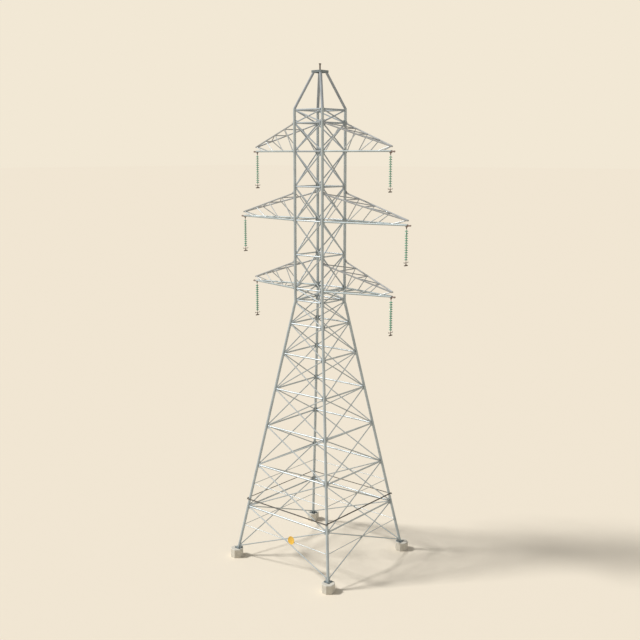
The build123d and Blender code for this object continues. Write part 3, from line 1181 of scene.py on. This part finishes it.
@dataclass
class Shackle(HungPart):
    """The fork round the lug's eye, its bolt, and the ball link into the first cap."""

    width: float = 0.056
    span: float = 0.045
    ear_offset: float = 0.0165
    ear_thickness: float = 0.012
    ear_length: float = 0.092
    ear_rounding: float = 0.002
    block_drop: float = 0.073
    block_depth: float = 0.040
    block_rounding: float = 0.005
    pin: float = 0.028
    bolt_width: float = 0.042

    def add_to(self, work: Steelwork) -> None:
        """Add the shackle.

        Args:
            work: the steel to add to.
        """
        for side in (-1, 1):
            ear = self.at(along=side * self.ear_offset)
            work.cone(Matrix.Translation(ear) @ LYING_ALONG_LINE, self.width, self.ear_thickness, sides=20)
            size = Vector((self.width, self.ear_thickness, self.ear_length))
            work.block(ear - UP * self.ear_length / 2, size, self.ear_rounding)
        size = Vector((self.width, self.span, self.block_depth))
        work.block(self.at(-self.block_drop), size, self.block_rounding)
        work.cone(Matrix.Translation(self.at()) @ LYING_ALONG_LINE, self.pin, self.span, sides=16)
        work.bolt(self.at(), FORWARD, self.span, self.bolt_width)
        work.turned(BALL_LINK, Matrix.Translation(self.at()))


@dataclass
class Stem(HungPart):
    """The rod under the last shed, with its socket on top and its clevis over the clamp."""

    cheek_drop: float = 0.345
    cheek_offset: float = 0.035
    cheek: Point = (0.010, 0.050, 0.130)
    cheek_rounding: float = 0.003
    bridge_drop: float = 0.305
    bridge: Point = (0.080, 0.050, 0.028)
    bridge_rounding: float = 0.004
    bolt_drop: float = 0.380
    bolt_grip: float = 0.080
    bolt_width: float = 0.036

    def add_to(self, work: Steelwork) -> None:
        """Add the stem.

        Args:
            work: the steel to add to.
        """
        work.turned(STEM_ROD, Matrix.Translation(self.at()))
        for side in (-1, 1):
            cheek = self.at(-self.cheek_drop, across=side * self.cheek_offset)
            work.block(cheek, Vector(self.cheek), self.cheek_rounding)
        work.block(self.at(-self.bridge_drop), Vector(self.bridge), self.bridge_rounding)
        work.bolt(self.at(-self.bolt_drop), RIGHTWARD, self.bolt_grip, self.bolt_width)


@dataclass
class Horn(HungPart):
    """The arcing horn: a stout rod along the line with both ends turned up, held in a hub."""

    half_length: float = 0.258
    diameter: float = 0.038
    turn_up: float = 0.055
    hub: Point = (0.062, 0.120, 0.056)
    hub_rounding: float = 0.006
    bolt_offset: float = 0.040
    bolt_width: float = 0.026

    def add_to(self, work: Steelwork) -> None:
        """Add the horn.

        Args:
            work: the steel to add to.
        """
        ends = [self.at(along=side * self.half_length) for side in (-1, 1)]
        work.tube(*ends, self.diameter)
        for end in ends:
            tip = end + UP * self.turn_up
            work.tube(end, tip, self.diameter)
            for bend in (end, tip):
                work.ball(bend, self.diameter)
        work.block(self.at(), Vector(self.hub), self.hub_rounding)
        for side in (-1, 1):
            work.bolt(self.at(along=side * self.bolt_offset), RIGHTWARD, self.hub[0], self.bolt_width)


@dataclass
class Clamp(HungPart):
    """The suspension clamp: a boat with a sleeve for the line, two keepers and their U-bolts."""

    boat: Point = (0.074, 0.420, 0.038)
    boat_drop: float = 0.026
    boat_keel: float = 0.80
    boat_rounding: float = 0.006
    lip: Point = (0.010, 0.400, 0.030)
    lip_rise: float = 0.006
    lip_offset: float = 0.032
    lip_rounding: float = 0.003
    keeper: Point = (0.070, 0.066, 0.014)
    keeper_rise: float = 0.031
    keeper_offset: float = 0.072
    keeper_rounding: float = 0.004
    u_bolt: float = 0.010
    u_bolt_drop: float = 0.020
    u_bolt_offset: float = 0.027
    u_bolt_length: float = 0.072
    nut_width: float = 0.021
    nut_depth: float = 0.010
    nut_rise: float = 0.063

    def add_to(self, work: Steelwork) -> None:
        """Add the clamp.

        Args:
            work: the steel to add to.
        """
        work.block(self.at(-self.boat_drop), Vector(self.boat), self.boat_rounding, keel=self.boat_keel)
        for side in (-1, 1):
            lip = self.at(self.lip_rise, across=side * self.lip_offset)
            work.block(lip, Vector(self.lip), self.lip_rounding)
        work.turned(LINE_SLEEVE, Matrix.Translation(self.at()) @ LYING_ALONG_LINE, steps=20)
        for along in (-self.keeper_offset, self.keeper_offset):
            work.block(self.at(self.keeper_rise, along), Vector(self.keeper), self.keeper_rounding)
            for across in (-self.u_bolt_offset, self.u_bolt_offset):
                foot = self.at(-self.u_bolt_drop, along, across)
                work.tube(foot, foot + UP * self.u_bolt_length, self.u_bolt, sides=10)
                nut = Matrix.Translation(foot + UP * self.nut_rise)
                work.cone(nut, self.nut_width, self.nut_depth, sides=6)


@dataclass
class InsulatorString:
    """Thirteen cap-and-pin glass units that hang from one arm, with the metal above and below them.

    Levels are measured from the shackle's bolt, and a unit's own sizes from its shed's underside.
    """

    arm: str
    side: Side
    pivot: Vector
    sheds: int = 13
    pitch: float = 0.170
    first: float = -0.275
    radius: float = 0.127
    steps: int = 24
    cap_steps: int = 16
    pin_steps: int = 12
    horn_drop: float = 0.210
    clamp_drop: float = 0.400

    @property
    def levels(self) -> list[float]:
        """Level of the underside of each shed."""
        return [self.first - self.pitch * count for count in range(self.sheds)]

    @property
    def shed_profile(self) -> Profile:
        """Draw one glass shed: three ribs below, a full round bell above.

        Returns:
            Its half section, from the axis below round to the axis above.
        """
        edge = self.radius
        ribs = [
            (0.0, 0.008), (0.024, 0.008), (0.038, -0.010), (0.045, -0.010), (0.052, 0.008),
            (0.064, 0.008), (0.070, -0.012), (0.077, -0.012), (0.083, 0.006),
            (0.096, 0.005), (0.102, -0.012), (0.108, -0.012), (0.114, 0.002),
        ]
        rim = [(edge - 0.005, -0.006), (edge, 0.000), (edge, 0.008)]
        bell = [(0.122, 0.018), (0.110, 0.028), (0.092, 0.037), (0.072, 0.044), (0.050, 0.050), (0.0, 0.050)]
        return ribs + rim + bell

    def build(self) -> None:
        """Make the glass, the unit caps and the rest of the metal in place of their plain solids."""
        circuit = self.side.name.lower()
        tag = f"{self.arm}_{circuit}"
        body = f"{tag}_string"
        levels = self.levels
        places = [Matrix.Translation(self.pivot + UP * level) for level in levels]

        shed = revolved(self.shed_profile, self.steps)
        smooth(shed)
        glass = new_object(f"{tag}_glass_sheds", stamped(shed, places), Finish.GLASS.material())
        instead_of(f"{self.arm}_insulator_discs_{circuit}", glass, body)

        fittings = f"{self.arm}_string_fittings_{circuit}"
        caps = Steelwork()
        caps.add(revolved(UNIT_CAP, self.cap_steps), places)
        caps.add(revolved(UNIT_PIN, self.pin_steps), places[:-1])
        instead_of(fittings, caps.finished(f"{tag}_unit_caps", Finish.CAP), body)

        metal = Steelwork()
        last = levels[-1]
        Shackle(self.pivot, 0.0).add_to(metal)
        Stem(self.pivot, last).add_to(metal)
        Horn(self.pivot, last - self.horn_drop).add_to(metal)
        Clamp(self.pivot, last - self.clamp_drop).add_to(metal)
        instead_of(fittings, metal.finished(f"{tag}_hardware", Finish.FORGED), body)


# ---------------------------------------------------------------- sign, base plates, bolts, guard and post
@dataclass
class Sign:
    """A plain round plate with a rolled rim, bolted to an upright strap near the lowest crossing."""

    radius: float = 0.320
    offset: float = 0.750
    rise: float = 0.100
    proud: float = 0.047
    steps: int = 64
    strap_width: float = 0.050
    strap_thickness: float = 0.006
    strap_length: float = 0.600
    bolt_offset: float = 0.200
    bolt_grip: float = 0.010
    bolt_width: float = 0.024

    @property
    def profile(self) -> Profile:
        """Draw the plate and its rim.

        Returns:
            Their half section, from the back round to the front.
        """
        edge = self.radius
        back = [(0.0, 0.006), (edge - 0.012, 0.006), (edge - 0.008, 0.000), (edge - 0.002, 0.000)]
        front = [(edge, 0.004), (edge, 0.012), (edge - 0.004, 0.015), (edge - 0.010, 0.010), (0.0, 0.010)]
        return back + front

    def build(self) -> None:
        """Make the plate in place of its plain disc, and the strap behind it."""
        height = LINES.crossing(LINES.plate_top + LINES.foot_rise, LINES.plate_top + LINES.body_panels[0])
        lean = math.hypot(1.0, LINES.slope)
        out = Vector((0.0, -1.0, LINES.slope)) / lean
        up = Vector((0.0, LINES.slope, 1.0)) / lean
        centre = Vector((self.offset, -LINES.half(height), height)) + up * self.rise + out * self.proud
        turn = Matrix((RIGHTWARD, up, out)).transposed().to_4x4()
        face = Steelwork()
        face.turned(self.profile, Matrix.Translation(centre) @ turn, self.steps)
        instead_of("sign_disc", face.finished("sign_plate", Finish.SIGN))

        strap = Steelwork()
        middle = centre + out * self.strap_thickness / 2
        size = (RIGHTWARD * self.strap_width, out * self.strap_thickness, up * self.strap_length)
        strap.plate(middle, *size)
        for lift in (-self.bolt_offset, self.bolt_offset):
            strap.bolt(centre + up * lift + out * self.bolt_grip / 2, out, self.bolt_grip, self.bolt_width)
        beside(strap.finished("sign_strap", Finish.BRACE))


@dataclass
class BasePlates:
    """The four plates under the legs with their anchor bolts."""

    size: float = 0.490
    thickness: float = 0.040
    rounding: float = 0.004
    bolt_offset: float = 0.190
    nut_width: float = 0.075
    nut_depth: float = 0.034
    nut_middle: float = 0.023
    washer: Profile = ((0.0, 0.0), (0.046, 0.0), (0.046, 0.006), (0.0, 0.006))
    bolt_end: Profile = ((0.0, 0.002), (0.021, 0.002), (0.021, 0.076), (0.017, 0.082), (0.0, 0.082))

    def anchor(self) -> bmesh.types.BMesh:
        """Make one anchor bolt.

        Returns:
            A washer, a nut and the bolt's threaded end, standing on Z = 0.
        """
        work = Steelwork()
        work.turned(self.washer, Matrix.Identity(4), steps=20)
        work.cone(Matrix.Translation(UP * self.nut_middle), self.nut_width, self.nut_depth, sides=6)
        work.turned(self.bolt_end, Matrix.Identity(4))
        return work.shape

    def build(self) -> None:
        """Make the plates in place of their plain solids."""
        work = Steelwork()
        top = LINES.plate_top
        places = []
        for x, y in CORNERS.values():
            foot = Vector((x * LINES.foot, y * LINES.foot, top))
            middle = foot - UP * self.thickness / 2
            work.block(middle, Vector((self.size, self.size, self.thickness)), self.rounding)
            for right, back in CORNERS.values():
                spot = foot + Vector((right * self.bolt_offset, back * self.bolt_offset, 0.0))
                places.append(Matrix.Translation(spot))
        work.add(self.anchor(), places)
        instead_of("base_plates", work.finished("base_plates_bolted", Finish.PLATE))


@dataclass
class TipBolts:
    """The bolts through the block at the outer end of every arm.

    The reaches are the distances of the strings from the middle, by the level of the arms.
    """

    reaches: dict[float, float]
    sink: float = 0.023
    grip: float = 0.091
    width: float = 0.036
    outward: tuple[float, ...] = (0.135, 0.300)
    half_gauge: float = 0.042

    def build(self) -> None:
        """Make the bolts of all six ends."""
        work = Steelwork()
        for height, reach in self.reaches.items():
            for outward in self.outward:
                for along in (-self.half_gauge, self.half_gauge):
                    work.bolt(Vector((reach + outward, along, height - self.sink)), UP, self.grip, self.width)
        work.add_mirror_image()
        beside(work.finished("arm_tip_bolts", Finish.TIP))


@dataclass
class Guard:
    """The anti-climb guard: two angle bars along X and two along Y, on cleats at the legs."""

    level: float = 4.843
    standoff: float = 0.126
    overhang: float = 0.050
    width: float = 0.070
    thickness: float = 0.007
    gap: float = 0.005
    rounding: float = 0.001
    cleat_width: float = 0.110
    cleat_thickness: float = 0.010
    bolt_offset: float = 0.030
    bolt_rise: float = 0.042
    bolt_width: float = 0.024

    def rail(self, height: float) -> Steelwork:
        """Make one angle bar on the front side with its cleats and bolts.

        Args:
            height: level of its underside.

        Returns:
            Its steel.
        """
        work = Steelwork()
        half = LINES.half(height)
        line = half + self.standoff
        length = 2 * (line + self.overhang)
        deep = self.thickness
        wall = Vector((0.0, -line + deep / 2, height + self.width / 2))
        work.block(wall, Vector((length, deep, self.width)), self.rounding)
        shelf = Vector((0.0, -line + deep - self.width / 2, height + deep / 2))
        work.block(shelf, Vector((length, self.width, deep)), self.rounding)
        for side in (-1, 1):
            cleat = Vector((side * half, -half - self.standoff / 2, height + self.cleat_thickness / 2))
            work.block(cleat, Vector((self.cleat_width, self.standoff, self.cleat_thickness)), self.rounding)
            for along in (-self.bolt_offset, self.bolt_offset):
                spot = Vector((side * half + along, -line + deep / 2, height + self.bolt_rise))
                work.bolt(spot, FORWARD, deep, self.bolt_width)
        return work

    def build(self) -> None:
        """Make the four sides in place of their plain solids."""
        whole = Steelwork()
        for quarter in range(4):
            rail = self.rail(self.level + (quarter % 2) * (self.width + self.gap))
            whole.add(rail.shape, [quarter_turns(quarter)])
        instead_of("anti_climb_guard", whole.finished("anti_climb_guard_bars", Finish.GUARD))


@dataclass
class EarthWirePost:
    """The post on top of the peak: bolted flange, stem and a head with an open groove."""

    base: float = 38.366
    height: float = 0.500
    flange: float = 0.016
    flange_radius: float = 0.120
    stem_radius: float = 0.056
    steps: int = 28
    bolt_circle: float = 0.094
    bolt_width: float = 0.030
    head_half_width: float = 0.040
    head_length: float = 0.200
    head_depth: float = 0.070
    head_rounding: float = 0.004
    groove: float = 0.009
    cheek_depth: float = 0.030
    cheek_rounding: float = 0.003

    @property
    def profile(self) -> Profile:
        """Draw the flange and the stem.

        Returns:
            Their half section, from the axis below round to the axis above.
        """
        neck, rim, chamfer = self.height - self.head_depth, self.flange_radius, 0.002
        foot = [(0.0, 0.0), (rim - chamfer, 0.0), (rim, chamfer), (rim, self.flange - chamfer)]
        weld = [(rim - chamfer, self.flange), (0.070, self.flange), (0.060, 0.026), (self.stem_radius, 0.040)]
        return foot + weld + [(self.stem_radius, neck), (0.0, neck)]

    def build(self) -> None:
        """Make the post in place of its plain solid."""
        work = Steelwork()
        work.turned(self.profile, Matrix.Translation(UP * self.base), self.steps)
        for quarter in range(4):
            angle = math.radians(45 + 90 * quarter)
            x, y = self.bolt_circle * math.cos(angle), self.bolt_circle * math.sin(angle)
            work.bolt(Vector((x, y, self.base + self.flange / 2)), UP, self.flange, self.bolt_width)
        depth = self.head_depth - self.groove
        middle = UP * (self.base + self.height - self.head_depth + depth / 2)
        work.block(middle, Vector((2 * self.head_half_width, self.head_length, depth)), self.head_rounding)
        wide = self.head_half_width - self.groove
        for side in (-1, 1):
            place = (side * (self.groove + wide / 2), 0.0, self.base + self.height - self.cheek_depth / 2)
            work.block(Vector(place), Vector((wide, self.head_length, self.cheek_depth)), self.cheek_rounding)
        instead_of("earth_wire_post", work.finished("earth_wire_post_turned", Finish.FORGED))


# ---------------------------------------------------------------- the whole tower
# The nodes of the frame that stand as they are.
STANDING = {"footings": Finish.CONCRETE, "peak_cap": Finish.PLATE, "arm_tip_plates": Finish.TIP}


def dress(node: str, finish: Finish) -> None:
    """Give a node of the frame its finish.

    Args:
        node: the node's name.
        finish: its one finish.
    """
    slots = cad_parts[node].data.materials
    slots.clear()
    slots.append(finish.material())
    LOG.info("%s dressed", node)


def main() -> None:
    """Build the studio and the tower."""
    logging.basicConfig(level=logging.INFO, format="%(name)s: %(message)s")
    Studio().build()
    for node, finish in STANDING.items():
        dress(node, finish)
    Legs().build()
    body = LINES.levels(LINES.plate_top, LINES.body_panels)
    cage = LINES.levels(LINES.waist, LINES.cage_panels)
    FaceBracing(
        "body", body, diagonal=0.090, rail=0.126, thin=0.054, thin_panels=2,
        bottom_rise=LINES.foot_rise, top_rise=LINES.end_rise,
    ).build()
    FaceBracing(
        "cage", cage, diagonal=0.102, rail=0.112, bottom_rail=0.112, top_rail=0.128,
        bottom_rise=LINES.end_rise, top_rise=LINES.end_rise,
    ).build()
    WaistBracing().build()
    arms = (("lower", 1, 6.764), ("middle", 3, 8.020), ("top", 5, 6.549))
    for name, level, reach in arms:
        CrossArm(name, level, reach).build()
        for side in Side:
            pivot = Vector((side.value * reach, 0.0, cage[level] - LINES.pivot_drop))
            InsulatorString(name, side, pivot).build()
    ends = {cage[level]: reach for _, level, reach in arms}
    for detail in (TipBolts(ends), Guard(), Sign(), BasePlates(), EarthWirePost()):
        detail.build()


if __name__ == "__main__":
    main()
